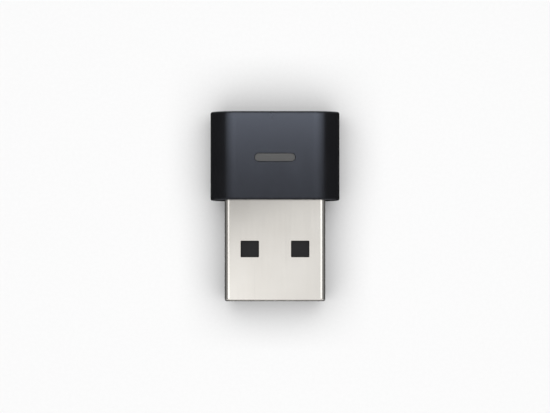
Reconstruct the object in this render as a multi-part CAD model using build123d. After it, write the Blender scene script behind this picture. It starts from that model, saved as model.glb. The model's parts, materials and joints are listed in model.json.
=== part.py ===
from build123d import *

import os

# A nano USB wifi adapter: a USB type-A plug with a short, wide moulded body behind it.
# The plug points along -Y, the face with the status light looks up +Z, and the body rests on Z = 0.
# The origin is the middle of the whole adapter's footprint, on the surface it rests on. Millimetres.
#
# How it is put together: the circuit board runs from the plug's mouth to the back of the body. A black
# carrier holds its front part inside the steel plug shell, with its contacts facing down into the plug's
# open half. A collar slides over the shell, and its two arms carry the board's edges. The outer cap goes
# on from behind, over the board, until the collar's barbs snap into the pockets in its side walls.

# ---- driving sizes of the outside ----
PLUG_WIDTH = 12.0
PLUG_HEIGHT = 4.5
PLUG_REACH = 12.0  # from the body's shoulder to the plug's tip
BODY_WIDTH = 15.4
BODY_LENGTH = 10.55
BODY_HEIGHT = 7.0
BODY_SIDE_RADIUS = 3.1  # the rounding of the body's two sides
CAP_REAR_EDGE = 0.24  # the rounding of its rear and front rims
CAP_FRONT_EDGE = 0.2

LENGTH = PLUG_REACH + BODY_LENGTH
TIP_Y = -LENGTH / 2
SHOULDER_Y = TIP_Y + PLUG_REACH
REAR_Y = LENGTH / 2
MID_Z = BODY_HEIGHT / 2
CLOSE = 1e-4  # measures nearer to each other than this are the same

# ---- cap and collar ----
WALL = 0.9
REBATE_WALL = 0.55  # the thinner wall where the collar's plate sits
REBATE_DEPTH = 1.2
COLLAR_INSET = 0.1  # the plate's front face behind the cap's rim
FIT_GAP = 0.03  # between pieces that fit snugly
ARM_INNER_X = 6.1
ARM_OUTER_X = 6.52
ARM_Z = (2.6, 4.85)
ARM_END_Y = SHOULDER_Y + 5.9
CHANNEL_START_Y = SHOULDER_Y + 4.0
CHANNEL_LIP = 0.55
CHANNEL_LIP_THICKNESS = 0.45
BARB_REACH = 0.45
BARB_Y = (SHOULDER_Y + 4.6, SHOULDER_Y + 5.5)
BARB_HEIGHT = 0.9
BARB_LAND = 0.15  # the flat at the barb's top, before its slope
POCKET_GAP = 0.1
BOARD_STOP_THICKNESS = 0.6
BOARD_STOP_X = 4.0
BOARD_STOP_REACH = 0.4  # the stops above and below the board
OVERLAP = 0.1  # how far a rib, cut or joint runs into its neighbour, so that they truly meet
PAST = 1.0  # how far a cutter runs past the end that it opens

# ---- plug shell ----
SHELL = 0.3
SHELL_RADIUS = 0.62
SHELL_REAR_Y = SHOULDER_Y + 2.7
SHELL_MOUTH_EDGE = 0.2
WINDOW_WIDTH = 2.16
WINDOW_LENGTH = 1.95
WINDOW_FROM_TIP = 5.16  # the windows' front edges behind the plug's tip
WINDOW_X = 3.01
WINDOW_CORNER = 0.1
WINDOW_EDGE = 0.05  # the rolled edge that the punch leaves round each window
SEAM_GAP = 0.06
SEAM_KEY = (0.9, 1.5)  # the dovetail key's half width and length
SEAM_KEY_NECK = 0.54  # its half width where it is narrowest
SEAM_KEY_GAP = 0.9  # from the windows to the key
SEAM_SHIFT = (0.3, 0.27)  # where the seam joins the key again, and where it leaves it
LANCE_X = 3.5
LANCE_SIZE = (1.6, 0.55, 0.22)
LANCE_LAND = 0.12  # the flat at each tongue's top, before its slope
LANCE_GAP = 0.02
LANCE_ROOT = SHELL / 3
LEG_Z = (3.1, 4.7)
LEG_LENGTH = 1.2
LEG_ROOT = 0.5  # how far each leg's block runs into the shell's wall
SOLDER_SIZE = 0.34  # the solder fillet's height and width
SOLDER_HOLLOW = 0.289  # the radius of its hollow face
SOLDER_INSET = 0.15  # its ends from the leg's ends

# ---- light slot and light guide ----
SLOT_LENGTH = 4.85
SLOT_WIDTH = 1.0
SLOT_FROM_REAR = 5.52
SLOT_Y = REAR_Y - SLOT_FROM_REAR
SLOT_EDGE = 0.04
SLOT_EDGE_CUT = 0.039  # the chamfer of the cutter, a little smaller so that its rim keeps a face
GUIDE_GAP = 0.02
GUIDE_EDGE = 0.04
GUIDE_RECESS = 0.04  # the guide's top below the body's top face
GUIDE_FLANGE = (5.9, 1.9, 0.42)
GUIDE_FLANGE_CORNER = 0.3
GUIDE_STEM_TOP = (3.2, 1.3)
GUIDE_STEM_END = (1.9, 0.9)
GUIDE_STEM_END_Z = 5.07
GUIDE_RAIL_THICKNESS = 0.5

# ---- circuit board ----
BOARD_THICKNESS = 0.8
BOARD_Z = 3.55  # its underside
BOARD_TOP_Z = BOARD_Z + BOARD_THICKNESS
BOARD_FRONT_Y = TIP_Y + 1.05
BOARD_REAR_Y = REAR_Y - WALL - 0.4
TONGUE_HALF = 5.1
NECK_HALF = 5.6
BASE_HALF = 6.05
NECK_START_Y = SHOULDER_Y + 0.95
BOARD_CHAMFER = 0.3

# ---- plug carrier ----
CARRIER_FRONT_Y = TIP_Y + 0.4
CARRIER_REAR_Y = SHOULDER_Y + 0.7
CARRIER_BLOCK_Y = (SHOULDER_Y - 3.0, SHOULDER_Y + 0.5)
CARRIER_HOOK_REACH = 0.32  # how far the front hook goes under the board
CARRIER_HOOK_Z = 3.36
CARRIER_LEAD_IN = 0.3
CHIP_POCKET_START_Y = TIP_Y + 8.0
CHIP_POCKET_HALF = 4.9

# ---- contacts: name, place across the plug, distance of the front end from the tip ----
CONTACT_WIDTH = 1.0
CONTACT_THICKNESS = 0.05
CONTACT_CORNER = 0.2
CONTACT_REAR_Y = TIP_Y + 8.6
CONTACTS = (
    ("contact_power", -3.5, 1.4),
    ("contact_data_minus", -1.0, 2.4),
    ("contact_data_plus", 1.0, 2.4),
    ("contact_ground", 3.5, 1.4),
)

# ---- electronics ----
CHIP_SIZE = (5.0, 5.0, 0.8)
CHIP_PLACE = (0.0, -0.35)
CHIP_PINS_A_SIDE = 10
CHIP_PIN_PITCH = 0.4
CHIP_PIN = (0.2, 0.4, 0.2)
CHIP_PAD = 3.4
CHIP_STANDOFF = 0.03
CHIP_EDGE = 0.06
CHIP_DIMPLE = (0.25, 0.1)  # the first-pin mark's radius, and its depth above and below the chip's top
CHIP_DIMPLE_INSET = 0.7
CRYSTAL_PLACE = (3.75, -0.4)
CRYSTAL_SIZE = (2.0, 2.5, 0.35)
CRYSTAL_LID = (1.8, 2.3, 0.25)
CRYSTAL_CORNER = 0.15
CRYSTAL_LID_CORNER = 0.25
CRYSTAL_LID_EDGE = 0.1
LED_PLACE = (0.0, SLOT_Y)
LED_SIZE = (1.6, 0.8, 0.25)
LED_TERMINAL = 0.3
LED_LENS = (0.95, 0.8, 0.3)
LED_LENS_SLOPE = 0.1
INDUCTOR_PLACE = (-1.6, 3.7)
INDUCTOR_SIZE = (2.0, 1.6, 0.9)
INDUCTOR_TERMINAL = (0.4, 0.3)  # each terminal's length and height
INDUCTOR_EDGE = 0.12
REGULATOR_PLACE = (-3.3, 6.6)
REGULATOR_BODY = (2.9, 1.6, 1.1)
REGULATOR_STANDOFF = 0.08
REGULATOR_LEAD_WIDTH = 0.4
REGULATOR_LEAD_THICKNESS = 0.15
REGULATOR_SPAN = 2.8  # from lead end to lead end
REGULATOR_PITCH = 0.95
REGULATOR_KNEE = 0.2  # how far a lead runs out before it bends, and how far it runs into the body
REGULATOR_EDGE = 0.12
ESD_PLACE = (-3.75, -2.35)
ESD_SIZE = (1.6, 1.0, 0.5)
ESD_PIN = (0.22, 0.3, 0.15)
ESD_PITCH = 0.5
ESD_EDGE = 0.05

PASSIVE_SIZE = (1.0, 0.5, 0.5)  # long side, short side and height of the small chip parts
RESISTOR_HEIGHT = 0.35
PASSIVE_TERMINAL = 0.22
PASSIVE_TERMINAL_EDGE = 0.04
PASSIVE_INSET = 0.02  # the ceramic's faces below its end caps' faces
# The small chip parts' places and turns on the board's top side
CAPACITOR_PLACES = (
    (-3.1, -0.9, 90),
    (-3.1, 0.4, 90),
    (-4.2, -0.9, 90),
    (-4.2, 0.4, 90),
    (-3.6, 2.3, 0),
    (-1.9, 2.5, 0),
    (1.2, 3.0, 90),
    (0.3, 3.0, 90),
)
RESISTOR_PLACES = (
    (2.1, 3.0, 90),
    (-1.9, 5.9, 0),
    (1.9, 5.9, 0),
    (-4.0, 3.6, 90),
)
RF_PLACES = (
    (3.6, 2.3, 0),
    (3.2, 4.0, 90),
    (4.1, 4.0, 90),
)

# ---- antenna: a meander of copper on the board's rear strip ----
TRACK_WIDTH = 0.35
TRACK_THICKNESS = 0.05
ANTENNA_FRONT_Y = 7.3
ANTENNA_REAR_Y = 9.7
ANTENNA_RIGHT_X = 5.4
ANTENNA_PITCH = 0.9
ANTENNA_LEGS = 11
ANTENNA_FEED_LEG = 2  # the feed meets the bar just after this leg, counted from 0
FEED_START_Y = 4.8
GROUND_STUB_Y = 6.8


def block(x, y, z):
    """A box from three pairs of limits."""
    size = [high - low for low, high in (x, y, z)]
    middle = [(high + low) / 2 for low, high in (x, y, z)]
    return Pos(*middle) * Box(*size)


def block_at(place, size, base_z):
    """A box of a given size that stands on base_z, centred on a place on the board."""
    return Pos(place[0], place[1], base_z + size[2] / 2) * Box(*size)


def along_y(profile, front, rear):
    """A solid whose section across the adapter is a profile drawn in X and Z."""
    plane = Plane(origin=(0, rear, 0), x_dir=(1, 0, 0), z_dir=(0, -1, 0))
    return extrude(plane * profile, amount=rear - front)


def along_z(outline, low, high):
    """A solid whose plan is an outline drawn in X and Y."""
    return extrude(Pos(0, 0, low) * outline, amount=high - low)


def rounded_section(width, height, radius):
    """A rounded rectangle centred on the adapter's axis, in X and Z."""
    return Pos(0, MID_Z) * RectangleRounded(width, height, radius)


def body_section(inset):
    """The body's section, shrunk by the same amount all round."""
    return rounded_section(BODY_WIDTH - 2 * inset, BODY_HEIGHT - 2 * inset, BODY_SIDE_RADIUS - inset)


def mirrored_pair(piece):
    """A piece and its mirror image on the other side of X = 0."""
    return [piece, mirror(piece, about=Plane.YZ)]


def edges_at_y(solid, y):
    """The edges of a solid that lie wholly in the plane of one Y."""
    return [e for e in solid.edges() if all(abs(v.Y - y) < CLOSE for v in e.vertices())]


def joined(pieces):
    """One shape from a list of pieces."""
    result = pieces[0]
    for piece in pieces[1:]:
        result += piece
    return result


# ---- housing ----


def outer_cap():
    """The dark moulded cap: open at the plug's end, closed behind, with the light slot in its top."""
    cap = along_y(body_section(0), SHOULDER_Y, REAR_Y)
    cap = fillet(edges_at_y(cap, REAR_Y), CAP_REAR_EDGE)
    cap = fillet(edges_at_y(cap, SHOULDER_Y), CAP_FRONT_EDGE)
    cap -= along_y(body_section(WALL), SHOULDER_Y, REAR_Y - WALL)
    cap -= along_y(body_section(REBATE_WALL), SHOULDER_Y, SHOULDER_Y + REBATE_DEPTH)
    cap -= light_slot()
    inner_top = BODY_HEIGHT - WALL
    rail_x = GUIDE_FLANGE[0] / 2 + GUIDE_GAP
    rail = block(
        (rail_x, rail_x + GUIDE_RAIL_THICKNESS),
        (SLOT_Y - GUIDE_FLANGE[1] / 2, SLOT_Y + GUIDE_FLANGE[1] / 2),
        (inner_top - GUIDE_FLANGE[2], inner_top + OVERLAP),
    )
    stop = block(
        (BOARD_STOP_X, BOARD_STOP_X + BOARD_STOP_THICKNESS),
        (BOARD_REAR_Y + FIT_GAP, REAR_Y - WALL + OVERLAP),
        (BOARD_Z - BOARD_STOP_REACH, BOARD_TOP_Z + BOARD_STOP_REACH),
    )
    pocket = block(
        (BODY_WIDTH / 2 - WALL - OVERLAP, ARM_OUTER_X + BARB_REACH + POCKET_GAP),
        (BARB_Y[0] - POCKET_GAP, BARB_Y[1] + POCKET_GAP),
        (MID_Z - BARB_HEIGHT / 2 - POCKET_GAP, MID_Z + BARB_HEIGHT / 2 + POCKET_GAP),
    )
    for piece in mirrored_pair(rail) + mirrored_pair(stop):
        cap += piece
    for piece in mirrored_pair(pocket):
        cap -= piece
    return cap


def light_slot():
    """The slot through the cap's top wall, with a small chamfer at its outer edge."""
    low = BODY_HEIGHT - WALL - OVERLAP
    slot = along_z(Pos(0, SLOT_Y) * SlotOverall(SLOT_LENGTH, SLOT_WIDTH), low, BODY_HEIGHT)
    flare = along_z(
        Pos(0, SLOT_Y) * SlotOverall(SLOT_LENGTH + 2 * SLOT_EDGE, SLOT_WIDTH + 2 * SLOT_EDGE),
        BODY_HEIGHT - SLOT_EDGE,
        BODY_HEIGHT,
    )
    flare = chamfer(flare.faces().sort_by(Axis.Z)[0].edges(), SLOT_EDGE_CUT)
    return slot + flare


def front_collar():
    """The plate round the plug, with two arms that hold the board's edges and snap into the cap."""
    gap = REBATE_WALL + FIT_GAP
    plate = along_y(body_section(gap), SHOULDER_Y + COLLAR_INSET, SHOULDER_Y + REBATE_DEPTH - FIT_GAP)
    opening = rounded_section(
        PLUG_WIDTH + 2 * FIT_GAP, PLUG_HEIGHT + 2 * FIT_GAP, SHELL_RADIUS + FIT_GAP
    )
    arm = block((ARM_INNER_X, ARM_OUTER_X), (SHOULDER_Y + REBATE_DEPTH / 2, ARM_END_Y), ARM_Z)
    lip_x = (ARM_INNER_X - CHANNEL_LIP, ARM_INNER_X + FIT_GAP)
    lip_y = (CHANNEL_START_Y, ARM_END_Y)
    lower_top = BOARD_Z - FIT_GAP
    upper_base = BOARD_TOP_Z + FIT_GAP
    lower_lip = block(lip_x, lip_y, (lower_top - CHANNEL_LIP_THICKNESS, lower_top))
    upper_lip = block(lip_x, lip_y, (upper_base, upper_base + CHANNEL_LIP_THICKNESS))
    arm = arm + lower_lip + upper_lip + collar_barb()
    for piece in mirrored_pair(arm):
        plate += piece
    return plate - along_y(opening, SHOULDER_Y, SHOULDER_Y + REBATE_DEPTH)


def collar_barb():
    """The right arm's barb: square at its front, and sloped behind so that the cap rides over it."""
    outline = Polygon(
        (ARM_OUTER_X - OVERLAP, BARB_Y[0]),
        (ARM_OUTER_X + BARB_REACH, BARB_Y[0]),
        (ARM_OUTER_X + BARB_REACH, BARB_Y[0] + BARB_LAND),
        (ARM_OUTER_X, BARB_Y[1]),
        (ARM_OUTER_X - OVERLAP, BARB_Y[1]),
        align=None,
    )
    return along_z(outline, MID_Z - BARB_HEIGHT / 2, MID_Z + BARB_HEIGHT / 2)


def light_guide():
    """The smoked light guide: its head fills the slot, and its stem ends just above the light."""
    inner_top = BODY_HEIGHT - WALL
    head = along_z(
        Pos(0, SLOT_Y) * SlotOverall(SLOT_LENGTH - 2 * GUIDE_GAP, SLOT_WIDTH - 2 * GUIDE_GAP),
        inner_top - GUIDE_GAP - OVERLAP,
        BODY_HEIGHT - GUIDE_RECESS,
    )
    head = fillet(head.faces().sort_by(Axis.Z)[-1].edges(), GUIDE_EDGE)
    flange_base = inner_top - GUIDE_GAP - GUIDE_FLANGE[2]
    flange = block_at((0, SLOT_Y), GUIDE_FLANGE, flange_base)
    flange = fillet(flange.edges().filter_by(Axis.Z), GUIDE_FLANGE_CORNER)
    stem = loft(
        [
            Pos(0, SLOT_Y, GUIDE_STEM_END_Z) * Rectangle(*GUIDE_STEM_END),
            Pos(0, SLOT_Y, flange_base) * Rectangle(*GUIDE_STEM_TOP),
        ]
    )
    return head + flange + stem


# ---- plug ----


def plug_shell():
    """The folded steel shell, with four latch windows, a keyed seam below and two solder legs."""
    shell = along_y(rounded_section(PLUG_WIDTH, PLUG_HEIGHT, SHELL_RADIUS), TIP_Y, SHELL_REAR_Y)
    shell = fillet(edges_at_y(shell, TIP_Y), SHELL_MOUTH_EDGE)
    inside = rounded_section(PLUG_WIDTH - 2 * SHELL, PLUG_HEIGHT - 2 * SHELL, SHELL_RADIUS - SHELL)
    shell -= along_y(inside, TIP_Y, SHELL_REAR_Y)
    window_y = TIP_Y + WINDOW_FROM_TIP + WINDOW_LENGTH / 2
    window = Pos(WINDOW_X, window_y) * RectangleRounded(WINDOW_WIDTH, WINDOW_LENGTH, WINDOW_CORNER)
    through = along_z(window, MID_Z - PLUG_HEIGHT, MID_Z + PLUG_HEIGHT)
    for piece in mirrored_pair(through):
        shell -= piece
    shell = fillet(window_rims(shell), WINDOW_EDGE)
    shell -= shell_seam()
    leg_x = (PLUG_WIDTH / 2 - SHELL, PLUG_WIDTH / 2)
    leg = block(leg_x, (SHELL_REAR_Y - LEG_ROOT, SHELL_REAR_Y + LEG_LENGTH), LEG_Z)
    for piece in mirrored_pair(leg) + shell_lances():
        shell += piece
    return shell


def window_rims(shell):
    """The outer rims of the latch windows, on the shell's top and underside."""
    front = TIP_Y + WINDOW_FROM_TIP
    rims = []
    for edge in shell.edges():
        middle = edge.center()
        outer = abs(abs(middle.Z - MID_Z) - PLUG_HEIGHT / 2) < CLOSE
        if outer and front - CLOSE < middle.Y < front + WINDOW_LENGTH + CLOSE:
            rims.append(edge)
    return rims


def shell_seam():
    """The thin gap where the shell's two edges meet under the plug, with one dovetail key."""
    bottom = MID_Z - PLUG_HEIGHT / 2
    half, length = SEAM_KEY
    key_y = TIP_Y + WINDOW_FROM_TIP + WINDOW_LENGTH + SEAM_KEY_GAP
    joins_x, leaves_x = SEAM_SHIFT
    path = Polyline(
        (0, TIP_Y - PAST),
        (0, key_y),
        (-SEAM_KEY_NECK, key_y),
        (-half, key_y + length),
        (half, key_y + length),
        (SEAM_KEY_NECK, key_y),
        (joins_x, key_y),
    )
    rest = Polyline((leaves_x, key_y + length), (leaves_x, SHELL_REAR_Y + PAST))
    cut = trace(path.edges() + rest.edges(), line_width=SEAM_GAP)
    return along_z(cut, bottom - OVERLAP, bottom + SHELL + OVERLAP)


def shell_lances():
    """Four small tongues raised from the shell just behind the collar, so that it can't be pulled out."""
    width, length, height = LANCE_SIZE
    front = SHOULDER_Y + REBATE_DEPTH + LANCE_GAP
    top = MID_Z + PLUG_HEIGHT / 2
    outline = Polygon(
        (front, top - LANCE_ROOT),
        (front, top + height),
        (front + LANCE_LAND, top + height),
        (front + length, top),
        (front + length, top - LANCE_ROOT),
        align=None,
    )
    plane = Plane(origin=(LANCE_X - width / 2, 0, 0), x_dir=(0, 1, 0), z_dir=(1, 0, 0))
    upper = extrude(plane * outline, amount=width)
    lower = mirror(upper, about=Plane(origin=(0, 0, MID_Z), z_dir=(0, 0, 1)))
    return mirrored_pair(upper) + mirrored_pair(lower)


def plug_carrier():
    """The black moulding inside the shell: a slab over the board, and a block that closes the cavity."""
    half = PLUG_WIDTH / 2 - SHELL - FIT_GAP
    low = MID_Z - PLUG_HEIGHT / 2 + SHELL + FIT_GAP
    high = MID_Z + PLUG_HEIGHT / 2 - SHELL - FIT_GAP
    section = rounded_section(2 * half, high - low, SHELL_RADIUS - SHELL)
    carrier = along_y(section, CARRIER_FRONT_Y, CARRIER_REAR_Y)
    wide = (-PLUG_WIDTH, PLUG_WIDTH)
    cavity_top = BOARD_Z - CONTACT_THICKNESS
    carrier -= block(wide, (TIP_Y, CARRIER_BLOCK_Y[0]), (low - PAST, CARRIER_HOOK_Z))
    carrier -= block(wide, (CARRIER_BLOCK_Y[1], CARRIER_REAR_Y + PAST), (low - PAST, cavity_top))
    hook_end = BOARD_FRONT_Y + CARRIER_HOOK_REACH
    carrier -= block(wide, (hook_end, CARRIER_BLOCK_Y[0]), (low - PAST, cavity_top))
    board_half = TONGUE_HALF + FIT_GAP
    slot_z = (BOARD_Z - FIT_GAP, BOARD_TOP_Z + FIT_GAP)
    carrier -= block((-board_half, board_half), (BOARD_FRONT_Y - FIT_GAP, CARRIER_REAR_Y + PAST), slot_z)
    between = (hook_end, CARRIER_BLOCK_Y[0])
    carrier -= block((-board_half, board_half), between, (cavity_top - OVERLAP, BOARD_TOP_Z))
    pocket = (CHIP_POCKET_START_Y, CARRIER_REAR_Y + PAST)
    carrier -= block((-CHIP_POCKET_HALF, CHIP_POCKET_HALF), pocket, (BOARD_TOP_Z, high + PAST))
    lead_in = edges_at_y(carrier, CARRIER_FRONT_Y)
    lowest = [e for e in lead_in if abs(e.center().Z - CARRIER_HOOK_Z) < CLOSE]
    return chamfer(lowest, CARRIER_LEAD_IN)


# ---- circuit board and contacts ----


def circuit_board():
    """The board: a narrow tongue in the plug, a neck between the shell's legs, and a wide base."""
    front_corner = TONGUE_HALF - BOARD_CHAMFER
    leg_end_y = SHELL_REAR_Y + LEG_LENGTH + OVERLAP
    right = [
        (front_corner, BOARD_FRONT_Y),
        (TONGUE_HALF, BOARD_FRONT_Y + BOARD_CHAMFER),
        (TONGUE_HALF, NECK_START_Y),
        (NECK_HALF, NECK_START_Y),
        (NECK_HALF, leg_end_y),
        (BASE_HALF, leg_end_y),
        (BASE_HALF, BOARD_REAR_Y - BOARD_CHAMFER),
        (BASE_HALF - BOARD_CHAMFER, BOARD_REAR_Y),
    ]
    left = [(-x, y) for x, y in reversed(right)]
    return along_z(Polygon(*right, *left, align=None), BOARD_Z, BOARD_TOP_Z)


def contact(x, from_tip):
    """One gold contact on the board's underside, rounded at its front."""
    front = TIP_Y + from_tip
    length = CONTACT_REAR_Y - front
    middle = (CONTACT_REAR_Y + front) / 2
    outline = Pos(x, middle) * RectangleRounded(CONTACT_WIDTH, length, CONTACT_CORNER)
    return along_z(outline, BOARD_Z - CONTACT_THICKNESS, BOARD_Z)


# ---- electronics on the board ----


def wifi_chip_terminals():
    """The radio chip's pins along its four sides, and the pad under its middle."""
    width, depth, height = CHIP_PIN
    reach = CHIP_SIZE[0] / 2 - depth / 2
    first = -(CHIP_PINS_A_SIDE - 1) / 2 * CHIP_PIN_PITCH
    pins = []
    for side in range(4):
        for number in range(CHIP_PINS_A_SIDE):
            pin = Pos(first + number * CHIP_PIN_PITCH, reach, height / 2) * Box(width, depth, height)
            pins.append(Rot(0, 0, 90 * side) * pin)
    pins.append(Pos(0, 0, CHIP_STANDOFF) * Box(CHIP_PAD, CHIP_PAD, 2 * CHIP_STANDOFF))
    return Compound([Pos(*CHIP_PLACE, BOARD_TOP_Z) * pin for pin in pins])


def wifi_chip():
    """The radio chip's moulded body, with a dimple at its first pin."""
    width, depth, height = CHIP_SIZE
    body = block_at(CHIP_PLACE, CHIP_SIZE, BOARD_TOP_Z + CHIP_STANDOFF)
    body = chamfer(body.faces().sort_by(Axis.Z)[-1].edges(), CHIP_EDGE)
    dimple_x = CHIP_PLACE[0] - width / 2 + CHIP_DIMPLE_INSET
    dimple_y = CHIP_PLACE[1] + depth / 2 - CHIP_DIMPLE_INSET
    top = BOARD_TOP_Z + CHIP_STANDOFF + height
    radius, cut = CHIP_DIMPLE
    body -= Pos(dimple_x, dimple_y, top) * Cylinder(radius, cut)
    for pin in wifi_chip_terminals().solids():
        body -= pin
    return body


def crystal_base():
    """The crystal's ceramic tray."""
    base = block_at(CRYSTAL_PLACE, CRYSTAL_SIZE, BOARD_TOP_Z)
    return fillet(base.edges().filter_by(Axis.Z), CRYSTAL_CORNER)


def crystal_lid():
    """The crystal's seam-welded metal lid."""
    lid = block_at(CRYSTAL_PLACE, CRYSTAL_LID, BOARD_TOP_Z + CRYSTAL_SIZE[2])
    lid = fillet(lid.edges().filter_by(Axis.Z), CRYSTAL_LID_CORNER)
    return fillet(lid.faces().sort_by(Axis.Z)[-1].edges(), CRYSTAL_LID_EDGE)


def led_terminals():
    """The status light's two end terminals."""
    reach = (LED_SIZE[0] - LED_TERMINAL) / 2
    size = (LED_TERMINAL, LED_SIZE[1], LED_SIZE[2])
    ends = [block_at((LED_PLACE[0] + side * reach, LED_PLACE[1]), size, BOARD_TOP_Z) for side in (-1, 1)]
    return Compound(ends)


def led_base():
    """The status light's white base between its terminals."""
    size = (LED_SIZE[0] - 2 * LED_TERMINAL, LED_SIZE[1], LED_SIZE[2])
    return block_at(LED_PLACE, size, BOARD_TOP_Z)


def led_lens():
    """The status light's clear lens, with sloped ends."""
    lens = block_at(LED_PLACE, LED_LENS, BOARD_TOP_Z + LED_SIZE[2])
    top = lens.faces().sort_by(Axis.Z)[-1]
    return chamfer(top.edges().filter_by(Axis.Y), LED_LENS_SLOPE)


def inductor_terminals():
    """The power inductor's two end terminals."""
    length, height = INDUCTOR_TERMINAL
    reach = (INDUCTOR_SIZE[0] - length) / 2
    size = (length, INDUCTOR_SIZE[1], height)
    x, y = INDUCTOR_PLACE
    return Compound([block_at((x + side * reach, y), size, BOARD_TOP_Z) for side in (-1, 1)])


def inductor():
    """The power inductor's moulded ferrite block."""
    body = block_at(INDUCTOR_PLACE, INDUCTOR_SIZE, BOARD_TOP_Z)
    body = fillet(body.faces().sort_by(Axis.Z)[-1].edges(), INDUCTOR_EDGE)
    for terminal in inductor_terminals().solids():
        body -= terminal
    return body


def regulator():
    """The voltage regulator's moulded body, under the board."""
    width, depth, height = REGULATOR_BODY
    top_z = BOARD_Z - REGULATOR_STANDOFF
    body = Pos(*REGULATOR_PLACE, top_z - height / 2) * Box(width, depth, height)
    body = chamfer(body.faces().sort_by(Axis.Z)[0].edges(), REGULATOR_EDGE)
    for lead in regulator_leads().solids():
        body -= lead
    return body


def regulator_leads():
    """The regulator's five gull-wing leads: three on one side and two on the other."""
    depth, height = REGULATOR_BODY[1:]
    thick = REGULATOR_LEAD_THICKNESS
    exit_z = BOARD_Z - REGULATOR_STANDOFF - height / 2
    knee = depth / 2 + REGULATOR_KNEE
    root = depth / 2 - REGULATOR_KNEE
    foot_base = BOARD_Z - thick
    outline = Polygon(
        (root, exit_z - thick),
        (knee + thick, exit_z - thick),
        (knee + 2 * thick, foot_base),
        (REGULATOR_SPAN / 2, foot_base),
        (REGULATOR_SPAN / 2, BOARD_Z),
        (knee + thick, BOARD_Z),
        (knee, exit_z),
        (root, exit_z),
        align=None,
    )
    plane = Plane(origin=(-REGULATOR_LEAD_WIDTH / 2, 0, 0), x_dir=(0, 1, 0), z_dir=(1, 0, 0))
    lead = extrude(plane * outline, amount=REGULATOR_LEAD_WIDTH)
    rear = [Pos(x, 0, 0) * lead for x in (-REGULATOR_PITCH, 0, REGULATOR_PITCH)]
    front = [Pos(x, 0, 0) * mirror(lead, about=Plane.XZ) for x in (-REGULATOR_PITCH, REGULATOR_PITCH)]
    return Compound([Pos(*REGULATOR_PLACE, 0) * piece for piece in rear + front])


def esd_terminals():
    """The surge protector's six pads."""
    depth = ESD_PIN[1]
    pads = []
    for side in (-1, 1):
        for step in (-1, 0, 1):
            place = (ESD_PLACE[0] + step * ESD_PITCH, ESD_PLACE[1] + side * (ESD_SIZE[1] - depth) / 2)
            pads.append(block_at(place, ESD_PIN, BOARD_TOP_Z))
    return Compound(pads)


def esd_array():
    """The surge protector's moulded body."""
    body = block_at(ESD_PLACE, ESD_SIZE, BOARD_TOP_Z)
    body = chamfer(body.faces().sort_by(Axis.Z)[-1].edges(), ESD_EDGE)
    for pad in esd_terminals().solids():
        body -= pad
    return body


def passive_bodies(places, height):
    """The ceramic middles of the small chip parts at these places."""
    long_side = PASSIVE_SIZE[0] - 2 * PASSIVE_TERMINAL
    short_side = PASSIVE_SIZE[1] - 2 * PASSIVE_INSET
    body = Pos(0, 0, height / 2) * Box(long_side, short_side, height - PASSIVE_INSET)
    return Compound([Pos(x, y, BOARD_TOP_Z) * Rot(0, 0, turn) * body for x, y, turn in places])


def passive_terminals():
    """The tinned end caps of every small chip part."""
    caps = []
    reach = (PASSIVE_SIZE[0] - PASSIVE_TERMINAL) / 2
    groups = (
        (CAPACITOR_PLACES, PASSIVE_SIZE[2]),
        (RESISTOR_PLACES, RESISTOR_HEIGHT),
        (RF_PLACES, PASSIVE_SIZE[2]),
    )
    for places, height in groups:
        cap = Pos(0, 0, height / 2) * Box(PASSIVE_TERMINAL, PASSIVE_SIZE[1], height)
        cap = fillet(cap.edges().filter_by(Axis.X), PASSIVE_TERMINAL_EDGE)
        for x, y, turn in places:
            for side in (-1, 1):
                caps.append(Pos(x, y, BOARD_TOP_Z) * Rot(0, 0, turn) * Pos(side * reach, 0, 0) * cap)
    return Compound(caps)


def antenna_trace():
    """The printed antenna: a meander across the rear of the board, with its feed and its ground stub."""
    z = (BOARD_TOP_Z, BOARD_TOP_Z + TRACK_THICKNESS)
    half = TRACK_WIDTH / 2
    tracks = []
    for leg in range(ANTENNA_LEGS):
        x = ANTENNA_RIGHT_X - leg * ANTENNA_PITCH
        tracks.append(block((x - half, x + half), (ANTENNA_FRONT_Y, ANTENNA_REAR_Y), z))
        if leg + 1 < ANTENNA_LEGS:
            y = ANTENNA_REAR_Y - half if leg % 2 else ANTENNA_FRONT_Y + half
            tracks.append(block((x - ANTENNA_PITCH, x), (y - half, y + half), z))
    feed_x = ANTENNA_RIGHT_X - (ANTENNA_FEED_LEG + 0.5) * ANTENNA_PITCH
    front_y = ANTENNA_FRONT_Y + half
    tracks.append(block((feed_x - half, feed_x + half), (FEED_START_Y, front_y), z))
    ground = (ANTENNA_RIGHT_X - half, ANTENNA_RIGHT_X + half)
    tracks.append(block(ground, (GROUND_STUB_Y, front_y), z))
    return joined(tracks)


def shell_solder():
    """The solder fillets between the shell's legs and the board's top."""
    leg_x = PLUG_WIDTH / 2 - SHELL
    middle = (leg_x - SOLDER_SIZE / 2, BOARD_TOP_Z + SOLDER_SIZE / 2)
    square = Pos(*middle) * Rectangle(SOLDER_SIZE, SOLDER_SIZE)
    hollow = Pos(leg_x - SOLDER_SIZE, BOARD_TOP_Z + SOLDER_SIZE) * Circle(SOLDER_HOLLOW)
    bar = along_y(square - hollow, SHELL_REAR_Y + SOLDER_INSET, SHELL_REAR_Y + LEG_LENGTH - SOLDER_INSET)
    return Compound(mirrored_pair(bar))


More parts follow.
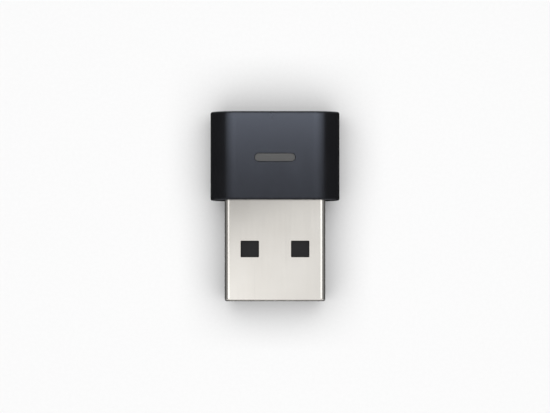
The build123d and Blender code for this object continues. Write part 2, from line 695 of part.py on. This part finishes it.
def sub_parts():
    """Every sub-part by name."""
    parts = {
        "outer_cap": outer_cap(),
        "front_collar": front_collar(),
        "light_guide": light_guide(),
        "plug_shell": plug_shell(),
        "plug_carrier": plug_carrier(),
        "circuit_board": circuit_board(),
        "wifi_chip": wifi_chip(),
        "wifi_chip_terminals": wifi_chip_terminals(),
        "crystal_base": crystal_base(),
        "crystal_lid": crystal_lid(),
        "status_led_terminals": led_terminals(),
        "status_led_base": led_base(),
        "status_led_lens": led_lens(),
        "power_inductor": inductor(),
        "power_inductor_terminals": inductor_terminals(),
        "voltage_regulator": regulator(),
        "voltage_regulator_leads": regulator_leads(),
        "surge_protector": esd_array(),
        "surge_protector_terminals": esd_terminals(),
        "capacitors": passive_bodies(CAPACITOR_PLACES, PASSIVE_SIZE[2]),
        "resistors": passive_bodies(RESISTOR_PLACES, RESISTOR_HEIGHT),
        "antenna_matching_parts": passive_bodies(RF_PLACES, PASSIVE_SIZE[2]),
        "passive_terminals": passive_terminals(),
        "antenna_trace": antenna_trace(),
        "shell_solder": shell_solder(),
    }
    for name, x, from_tip in CONTACTS:
        parts[name] = contact(x, from_tip)
    return parts


os.makedirs("parts", exist_ok=True)
for node, shape in sub_parts().items():
    export_step(shape, f"parts/{node}.step")
    print(f"{node}: {len(shape.solids())} solids, {shape.volume:.3f} mm3")
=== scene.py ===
import json
import math

import bpy
from mathutils import Matrix, Vector


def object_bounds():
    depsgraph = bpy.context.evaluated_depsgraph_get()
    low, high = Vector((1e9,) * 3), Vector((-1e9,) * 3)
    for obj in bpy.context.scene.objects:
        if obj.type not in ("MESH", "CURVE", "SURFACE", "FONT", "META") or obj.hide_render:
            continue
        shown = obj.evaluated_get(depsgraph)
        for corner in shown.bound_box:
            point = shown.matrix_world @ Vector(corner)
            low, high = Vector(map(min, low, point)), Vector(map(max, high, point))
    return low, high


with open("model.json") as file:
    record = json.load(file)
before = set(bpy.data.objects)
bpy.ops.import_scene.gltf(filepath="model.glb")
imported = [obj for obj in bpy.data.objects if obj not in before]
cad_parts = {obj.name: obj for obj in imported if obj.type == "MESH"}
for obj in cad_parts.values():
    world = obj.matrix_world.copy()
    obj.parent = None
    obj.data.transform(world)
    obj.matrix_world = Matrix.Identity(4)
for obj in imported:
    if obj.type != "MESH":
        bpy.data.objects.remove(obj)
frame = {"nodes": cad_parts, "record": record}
nodes = frame["nodes"]
cad_low, cad_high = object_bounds()

MM = 0.001
MICRON = 1e-6

# Most of a noise's values, which run from 0 to 1, lie between these two.
NOISE_LOW, NOISE_HIGH = 0.3, 0.7

# ---- the object's middle height, from the frame ----
MID_Z = (cad_low[2] + cad_high[2]) / 2

# ---- camera: almost straight above, leaning a little towards the plug's tip ----
CAMERA_DISTANCE = 1.2
CAMERA_LEAN_DEG = 2.0
CAMERA_LENS = 657.0
SENSOR_WIDTH = 36.0
CAMERA_CLIP_START = 0.01

# ---- floor and surround ----
FLOOR_HALF = 1.5
FLOOR_GAP = 0.01 * MM
SURROUND = (0.03, 0.03, 0.031, 1.0)
BACKDROP = (0.95, 0.95, 0.95, 1.0)


class Nodes:
    """A node tree, with short ways to add nodes, set their inputs and link them."""

    def __init__(self, tree):
        self.tree = tree

    def add(self, kind, inputs=None, **settings):
        """A node with these settings, whose inputs are numbers, colours or other nodes' outputs."""
        node = self.tree.nodes.new(kind)
        for key, value in settings.items():
            setattr(node, key, value)
        for key, value in (inputs or {}).items():
            self.set(node.inputs[key], value)
        return node

    def set(self, socket, value):
        """Links an output to a socket, or sets the socket's value."""
        if isinstance(value, bpy.types.NodeSocket):
            self.tree.links.new(value, socket)
        else:
            socket.default_value = value

    def remap(self, value, low, high, to_low=0.0, to_high=1.0, steps="LINEAR"):
        """A value from one range, mapped to another and clamped."""
        inputs = {
            "Value": value, "From Min": low, "From Max": high, "To Min": to_low, "To Max": to_high
        }
        node = self.add("ShaderNodeMapRange", inputs, interpolation_type=steps)
        return node.outputs["Result"]

    def math(self, operation, first, second=0.0):
        """One sum of two numbers."""
        return self.add("ShaderNodeMath", {0: first, 1: second}, operation=operation).outputs[0]

    def total(self, *values):
        """All these values, each given as a socket or as a socket and its weight, added up."""
        result = 0.0
        for value in values:
            socket, weight = value if isinstance(value, tuple) else (value, 1.0)
            inputs = {0: socket, 1: weight, 2: result}
            result = self.add("ShaderNodeMath", inputs, operation="MULTIPLY_ADD").outputs[0]
        return result

    def mix(self, factor, first, second):
        """A colour between two colours."""
        node = self.add("ShaderNodeMix", {"Factor": factor}, data_type="RGBA")
        self.set(node.inputs[6], first)
        self.set(node.inputs[7], second)
        return node.outputs[2]


class Material(Nodes):
    """A material: its shader, and the patterns that feed it. Places are the object's, in metres."""

    def __init__(self, name):
        self.material = bpy.data.materials.new(name)
        self.material.use_nodes = True
        super().__init__(self.material.node_tree)
        self.shader = self.tree.nodes["Principled BSDF"]
        self.place = self.add("ShaderNodeTexCoord").outputs["Object"]

    def noise(self, scale, detail=3.0, roughness=0.5, vector=None):
        """Noise from 0 to 1, with this many features per metre."""
        inputs = {
            "Vector": vector or self.place, "Scale": scale, "Detail": detail, "Roughness": roughness
        }
        return self.add("ShaderNodeTexNoise", inputs).outputs["Fac"]

    def stretched_noise(self, scales, detail=3.0, roughness=0.5):
        """Noise from 0 to 1, with its own number of features per metre along each axis."""
        mapping = self.add("ShaderNodeMapping", {"Vector": self.place, "Scale": scales})
        return self.noise(1.0, detail, roughness, mapping.outputs["Vector"])

    def spread(self, noise, low, high):
        """A value that goes from low to high over the range that most of a noise lies in."""
        return self.remap(noise, NOISE_LOW, NOISE_HIGH, low, high)

    def bump(self, height, distance, strength=1.0, normal=None):
        """A normal from a height from 0 to 1, whose full height is a distance in metres."""
        inputs = {"Height": height, "Distance": distance, "Strength": strength}
        if normal is not None:
            inputs["Normal"] = normal
        return self.add("ShaderNodeBump", inputs).outputs["Normal"]

    def finish(self, **inputs):
        """Sets the shader's inputs, named with underscores for spaces, and returns the material."""
        for key, value in inputs.items():
            self.set(self.shader.inputs[key.replace("_", " ")], value)
        return self.material


def rgb(red, green, blue):
    """A colour for a socket, in linear light."""
    return (red, green, blue, 1.0)


# ---- materials ----


def moulded_black(name, dark, light, rough_low, rough_high, grain, **gloss):
    """Moulded plastic: slight clouding, fine eroded grain and a few soft handling smears."""
    m = Material(name)
    cloud = m.noise(240.0, 4.0, 0.6)
    speck = m.noise(9000.0, 2.0)
    colour = m.mix(m.spread(m.total((cloud, 0.75), (speck, 0.25)), 0.0, 1.0), dark, light)
    smear = m.stretched_noise((420.0, 150.0, 420.0), 4.0, 0.65)
    roughness = m.remap(m.total(smear, (speck, 0.3)), 0.4, 0.95, rough_low, rough_high)
    coarse = m.bump(m.noise(5200.0, 2.0, 0.55), grain)
    normal = m.bump(m.noise(16000.0, 2.0), grain * 0.4, 1.0, coarse)
    return m.finish(Base_Color=colour, Roughness=roughness, Normal=normal, **gloss)


def plated_steel():
    """Nickel-plated steel: rolling grain and streaks along the plug, clouding, light scratches."""
    m = Material("plug_nickel")
    grain = m.stretched_noise((16000.0, 420.0, 16000.0), 3.0, 0.6)
    streak = m.stretched_noise((2400.0, 130.0, 2400.0), 4.0, 0.6)
    cloud = m.noise(160.0)
    scratch_starts, scratch_is_full = 0.69, 0.72
    scratch_field = m.stretched_noise((5200.0, 90.0, 5200.0), 1.0, 0.4)
    scratch = m.remap(scratch_field, scratch_starts, scratch_is_full)
    colour = m.mix(m.spread(cloud, 0.0, 1.0), rgb(0.645, 0.620, 0.580), rgb(0.695, 0.672, 0.635))
    roughness = m.total(
        m.remap(cloud, 0.35, 0.65, 0.10, 0.13),
        m.remap(streak, 0.35, 0.65, 0.0, 0.06),
        (scratch, 0.07),
    )
    brushed = m.bump(m.total((grain, 0.5), (streak, 0.5)), 1.0 * MICRON)
    normal = m.bump(scratch, -1.0 * MICRON, 0.6, brushed)
    return m.finish(Base_Color=colour, Metallic=1.0, Roughness=roughness, Normal=normal)


def smoked_guide():
    """The light guide's smoked acrylic: milky grey, with faint flow lines along it."""
    m = Material("smoked_acrylic")
    flow = m.stretched_noise((300.0, 1500.0, 800.0))
    colour = m.mix(flow, rgb(0.036, 0.036, 0.036), rgb(0.050, 0.050, 0.049))
    roughness = m.spread(m.noise(2600.0), 0.30, 0.42)
    normal = m.bump(m.noise(7000.0, 2.0), 0.8 * MICRON)
    return m.finish(Base_Color=colour, Roughness=roughness, Normal=normal, IOR=1.49)


def gold():
    """Gold flash over nickel, with fine wipe lines along the contacts."""
    m = Material("contact_gold")
    wipe = m.stretched_noise((14000.0, 300.0, 14000.0), 3.0, 0.6)
    colour = m.mix(wipe, rgb(0.83, 0.56, 0.20), rgb(0.92, 0.68, 0.29))
    roughness = m.spread(wipe, 0.20, 0.32)
    normal = m.bump(wipe, 0.6 * MICRON, 0.6)
    return m.finish(Base_Color=colour, Metallic=1.0, Roughness=roughness, Normal=normal)


def tinned():
    """Tinned terminals and solder: bright, slightly grainy grey metal."""
    m = Material("tin")
    crystals = m.add("ShaderNodeTexVoronoi", {"Vector": m.place, "Scale": 14000.0})
    cloud = m.noise(3000.0)
    colour = m.mix(cloud, rgb(0.60, 0.60, 0.59), rgb(0.76, 0.76, 0.74))
    roughness = m.spread(cloud, 0.26, 0.40)
    normal = m.bump(crystals.outputs["Distance"], 2.0 * MICRON, 0.5)
    return m.finish(Base_Color=colour, Metallic=1.0, Roughness=roughness, Normal=normal)


def solder_mask():
    """The board: green mask over glass laminate, with the weave just showing through."""
    m = Material("green_mask")
    threads = {"Vector": m.place, "Scale": 420.0, "Distortion": 0.6}
    across, along = (
        m.add("ShaderNodeTexWave", threads, bands_direction=direction).outputs["Fac"]
        for direction in "XY"
    )
    weave = m.math("MULTIPLY", across, along)
    mottled = m.total((weave, 0.4), (m.noise(700.0), 0.6))
    colour = m.mix(mottled, rgb(0.006, 0.050, 0.022), rgb(0.014, 0.105, 0.045))
    roughness = m.spread(m.noise(2400.0), 0.24, 0.36)
    normal = m.bump(weave, 3.0 * MICRON, 0.4)
    return m.finish(Base_Color=colour, Roughness=roughness, Normal=normal, IOR=1.52)


def chip_resin():
    """Chip packages: matt black filled epoxy with tiny pale specks of filler."""
    m = Material("chip_resin")
    speck = m.noise(22000.0, 2.0, 0.6)
    pale = m.remap(speck, 0.5, 0.75)
    colour = m.mix(pale, rgb(0.013, 0.013, 0.014), rgb(0.045, 0.045, 0.047))
    roughness = m.spread(m.noise(1800.0), 0.52, 0.66)
    normal = m.bump(speck, 2.5 * MICRON, 0.5)
    return m.finish(Base_Color=colour, Roughness=roughness, Normal=normal)


def ceramic(name, dark, light, roughness):
    """Sintered ceramic: an even body colour with fine grain and small pits."""
    m = Material(name)
    grain = m.noise(12000.0, 3.0, 0.6)
    cloud = m.noise(1500.0, 2.0)
    colour = m.mix(m.total((grain, 0.6), (cloud, 0.4)), dark, light)
    uneven = m.spread(grain, roughness - 0.05, roughness + 0.06)
    normal = m.bump(grain, 2.0 * MICRON, 0.5)
    return m.finish(Base_Color=colour, Roughness=uneven, Normal=normal)


def lid_metal():
    """The crystal's plated lid: pale gold-grey, finely satin."""
    m = Material("crystal_lid")
    grain = m.stretched_noise((4000.0, 16000.0, 4000.0), 3.0, 0.6)
    colour = m.mix(grain, rgb(0.62, 0.58, 0.48), rgb(0.74, 0.70, 0.60))
    roughness = m.spread(grain, 0.22, 0.34)
    normal = m.bump(grain, 0.8 * MICRON, 0.5)
    return m.finish(Base_Color=colour, Metallic=1.0, Roughness=roughness, Normal=normal)


def led_resin():
    """The light's lens: clear resin, tinted by the phosphor under it."""
    m = Material("led_resin")
    cloud = m.noise(2500.0, 2.0)
    colour = m.mix(cloud, rgb(0.72, 0.66, 0.34), rgb(0.86, 0.82, 0.58))
    roughness = m.spread(cloud, 0.12, 0.22)
    normal = m.bump(cloud, 2.0 * MICRON, 0.4)
    return m.finish(Base_Color=colour, Roughness=roughness, Normal=normal, IOR=1.5)


def masked_copper():
    """Copper tracks under the green mask: lighter green, with a soft metallic look."""
    m = Material("masked_copper")
    cloud = m.noise(3000.0, 2.0)
    colour = m.mix(cloud, rgb(0.040, 0.165, 0.060), rgb(0.070, 0.225, 0.085))
    roughness = m.spread(cloud, 0.24, 0.34)
    normal = m.bump(cloud, 2.0 * MICRON, 0.4)
    return m.finish(Base_Color=colour, Metallic=0.35, Roughness=roughness, Normal=normal)


def white_sweep():
    """The floor: plain white card with the faintest paper tooth."""
    m = Material("white_sweep")
    colour = m.mix(m.noise(2500.0, 2.0), rgb(0.80, 0.80, 0.80), rgb(0.83, 0.83, 0.83))
    return m.finish(Base_Color=colour, Roughness=0.9, Specular_IOR_Level=0.0)


MATERIAL_OF_SLOT = {
    "cap_plastic": moulded_black(
        "cap_plastic",
        rgb(0.0080, 0.0080, 0.0088), rgb(0.0110, 0.0110, 0.0120), 0.20, 0.29, 2.6 * MICRON,
        IOR=1.58, Specular_Tint=rgb(0.72, 0.80, 1.0),
    ),
    "collar_plastic": moulded_black(
        "collar_plastic",
        rgb(0.0100, 0.0102, 0.0115), rgb(0.0150, 0.0153, 0.0170), 0.40, 0.52, 2.0 * MICRON,
    ),
    "carrier_plastic": moulded_black(
        "carrier_plastic",
        rgb(0.0080, 0.0080, 0.0085), rgb(0.0120, 0.0120, 0.0130), 0.50, 0.62, 2.0 * MICRON,
        Specular_IOR_Level=0.2,
    ),
    "guide_plastic": smoked_guide(),
    "plug_steel": plated_steel(),
    "board_laminate": solder_mask(),
    "contact_gold": gold(),
    "tin": tinned(),
    "chip_resin": chip_resin(),
    "crystal_ceramic": ceramic(
        "crystal_ceramic", rgb(0.30, 0.25, 0.17), rgb(0.42, 0.36, 0.26), 0.55
    ),
    "crystal_lid_metal": lid_metal(),
    "led_white": ceramic("led_white", rgb(0.70, 0.69, 0.65), rgb(0.84, 0.83, 0.79), 0.45),
    "led_lens": led_resin(),
    "ferrite": ceramic("ferrite", rgb(0.060, 0.056, 0.054), rgb(0.110, 0.104, 0.100), 0.62),
    "capacitor_ceramic": ceramic(
        "capacitor_ceramic", rgb(0.27, 0.17, 0.09), rgb(0.40, 0.27, 0.15), 0.42
    ),
    "resistor_ceramic": ceramic(
        "resistor_ceramic", rgb(0.020, 0.020, 0.024), rgb(0.050, 0.050, 0.056), 0.35
    ),
    "matching_ceramic": ceramic(
        "matching_ceramic", rgb(0.48, 0.50, 0.53), rgb(0.64, 0.66, 0.69), 0.42
    ),
    "masked_copper": masked_copper(),
}


def dress_cad_nodes():
    """Gives each CAD node the material of its slot."""
    for subpart in frame["record"]["subparts"]:
        mesh = nodes[subpart["node"]].data
        mesh.materials.clear()
        mesh.materials.append(MATERIAL_OF_SLOT[subpart["material_slot"]])


# ---- stage, lights and camera ----


def face_object(thing):
    """Turns a camera or light to look at the object's middle, its own Y as near +Y as it can be."""
    back = (thing.location - Vector((0.0, 0.0, MID_Z))).normalized()
    right = Vector((0, 1, 0)).cross(back).normalized()
    turn = Matrix((right, back.cross(right), back)).transposed()
    thing.rotation_euler = turn.to_euler()


def make_floor():
    """A large plain sheet under the object, just below its lowest point."""
    half, z = FLOOR_HALF, cad_low[2] - FLOOR_GAP
    corners = [(-half, -half, z), (half, -half, z), (half, half, z), (-half, half, z)]
    mesh = bpy.data.meshes.new("floor")
    mesh.from_pydata(corners, [], [(0, 1, 2, 3)])
    floor = bpy.data.objects.new("floor", mesh)
    bpy.context.scene.collection.objects.link(floor)
    mesh.materials.append(white_sweep())
    floor.visible_glossy = False
    floor.visible_shadow = False


def area_light(name, place, size, radiance, sees="all", only=()):
    """A soft panel that faces the object, with its place and size in millimetres.

    Its brightness is given as radiance, so its size doesn't change it. sees says what kind of
    light it gives: "all", "gloss" or "diffuse". only names the nodes that it lights.
    """
    width, depth = (side * MM for side in size)
    data = bpy.data.lights.new(name, "AREA")
    data.shape = "RECTANGLE"
    data.size = width
    data.size_y = depth
    data.energy = radiance * math.pi * width * depth
    light = bpy.data.objects.new(name, data)
    bpy.context.scene.collection.objects.link(light)
    light.location = [coordinate * MM for coordinate in place]
    face_object(light)
    light.visible_camera = False
    light.visible_diffuse = sees != "gloss"
    light.visible_glossy = sees != "diffuse"
    if only:
        receivers = bpy.data.collections.new(name + "_receivers")
        for node in only:
            receivers.objects.link(nodes[node])
        light.light_linking.receiver_collection = receivers
    return light


def even_glow(box, x, y, z):
    """The same radiance all over a panel's face."""
    return 1.0


def body_glow(box, x, y, z):
    """The body ceiling's radiance: it fades to its sides, and is brightest over the body's rear."""
    aside = box.math("ABSOLUTE", x)
    glow = box.total(
        box.remap(y, 1 * MM, 10 * MM, 0.54, 0.86),
        box.remap(y, 9.5 * MM, 20 * MM, 0.0, 5.0),
    )
    fades = (
        box.remap(aside, 0.0, 14 * MM, 0.82, 1.17),
        box.remap(aside, 10 * MM, 75 * MM, 1.0, 0.0),
        box.remap(y, -12 * MM, -2 * MM, 0.0, 1.0, "SMOOTHSTEP"),
        box.remap(y, 30 * MM, 21 * MM, 0.0, 1.0, "SMOOTHSTEP"),
    )
    for fade in fades:
        glow = box.math("MULTIPLY", glow, fade)
    return glow


def plug_glow(box, x, y, z):
    """The plug ceiling's radiance: dimmest over the shoulder, brightest over the tip's left."""
    slant = box.total(y, (x, -0.35))
    left = box.remap(x, -9 * MM, 9 * MM, 0.38, -0.12)
    glow = box.total(
        box.remap(slant, -4 * MM, 4.5 * MM, 1.04, 0.94),
        box.remap(slant, 0.2 * MM, 4.8 * MM, 0.0, -0.44),
        box.remap(y, 8 * MM, 30 * MM, 0.0, 0.30),
        box.math("MULTIPLY", left, box.remap(y, -12 * MM, 0.0, 1.0, 0.0)),
    )
    fade_across = box.remap(box.math("ABSOLUTE", x), 8 * MM, 60 * MM, 1.0, 0.40)
    return box.math("MULTIPLY", glow, fade_across)


def wall_glow(box, x, y, z):
    """The radiance of the plug's side walls: dark at their feet, dim above, brighter at the top."""
    return box.total(
        box.remap(z, -26 * MM, -18 * MM, 0.0, 0.19),
        box.remap(z, 0.0, 35 * MM, 0.0, 0.13),
    )


def shade(light, glow):
    """Gives a light a radiance that can change over its face, and that the floor doesn't catch.

    A ray that has already left a dull surface finds it dark. Otherwise the steel would throw the
    panels' light on the floor, and fill the object's soft shadow there.
    """
    light.data.use_nodes = True
    box = Nodes(light.data.node_tree)
    place = box.add("ShaderNodeNewGeometry").outputs["Position"]
    split = box.add("ShaderNodeSeparateXYZ", {"Vector": place})
    dull_bounces = box.add("ShaderNodeLightPath").outputs["Diffuse Depth"]
    seen_directly = box.math("LESS_THAN", dull_bounces, 0.5)
    strength = box.tree.nodes["Emission"].inputs["Strength"]
    box.set(strength, box.math("MULTIPLY", glow(box, *split.outputs), seen_directly))


def make_lights():
    """A soft overhead panel lights the floor. The body and the plug each reflect their own tent."""
    body = ["outer_cap", "light_guide", "front_collar"]
    shell = ["plug_shell"]
    plug = [name for name in nodes if name not in body]
    area_light("overhead", (0, 0, 300), (600, 600), 2.10, "diffuse")
    panels = [
        ("body_ceiling", (0, 15, 60), (150, 60), 1.0, "gloss", body, body_glow),
        ("plug_ceiling", (0, 0, 60), (120, 120), 1.0, "gloss", plug, plug_glow),
    ]
    for side in (-1, 1):
        panels += [
            (f"body_end_{side}", (0, side * 70, 12), (120, 60), 0.5, "gloss", body, even_glow),
            (f"body_under_{side}", (0, side * 60, -30), (160, 70), 0.5, "gloss", body, even_glow),
            (f"plug_end_{side}", (0, side * 60, 16), (120, 88), 0.8, "all", plug, even_glow),
            (f"plug_under_{side}", (0, side * 50, -30), (160, 60), 0.3, "gloss", plug, even_glow),
            (f"plug_strip_{side}", (side * 37, -3, 60), (36, 40), 1.0, "gloss", shell, even_glow),
            (f"plug_wall_{side}", (side * 60, 0, 12), (96, 120), 1.0, "gloss", plug, wall_glow),
        ]
    for *panel, glow in panels:
        shade(area_light(*panel), glow)


def make_world():
    """A dim, even surround, which the camera sees as the pale backdrop above the floor."""
    world = bpy.data.worlds.new("studio")
    bpy.context.scene.world = world
    world.use_nodes = True
    sky = Nodes(world.node_tree)
    seen_by_camera = sky.add("ShaderNodeLightPath").outputs["Is Camera Ray"]
    colour = sky.mix(seen_by_camera, SURROUND, BACKDROP)
    sky.set(sky.tree.nodes["Background"].inputs["Color"], colour)


def make_camera():
    """The camera, with the object's middle at the middle of the picture."""
    data = bpy.data.cameras.new("camera")
    data.lens = CAMERA_LENS
    data.sensor_width = SENSOR_WIDTH
    data.clip_start = CAMERA_CLIP_START
    camera = bpy.data.objects.new("camera", data)
    bpy.context.scene.collection.objects.link(camera)
    lean = math.radians(CAMERA_LEAN_DEG)
    camera.location = (
        0.0,
        -CAMERA_DISTANCE * math.sin(lean),
        MID_Z + CAMERA_DISTANCE * math.cos(lean),
    )
    face_object(camera)
    bpy.context.scene.camera = camera


dress_cad_nodes()
make_floor()
make_lights()
make_world()
make_camera()
bpy.context.scene.view_settings.view_transform = "Standard"
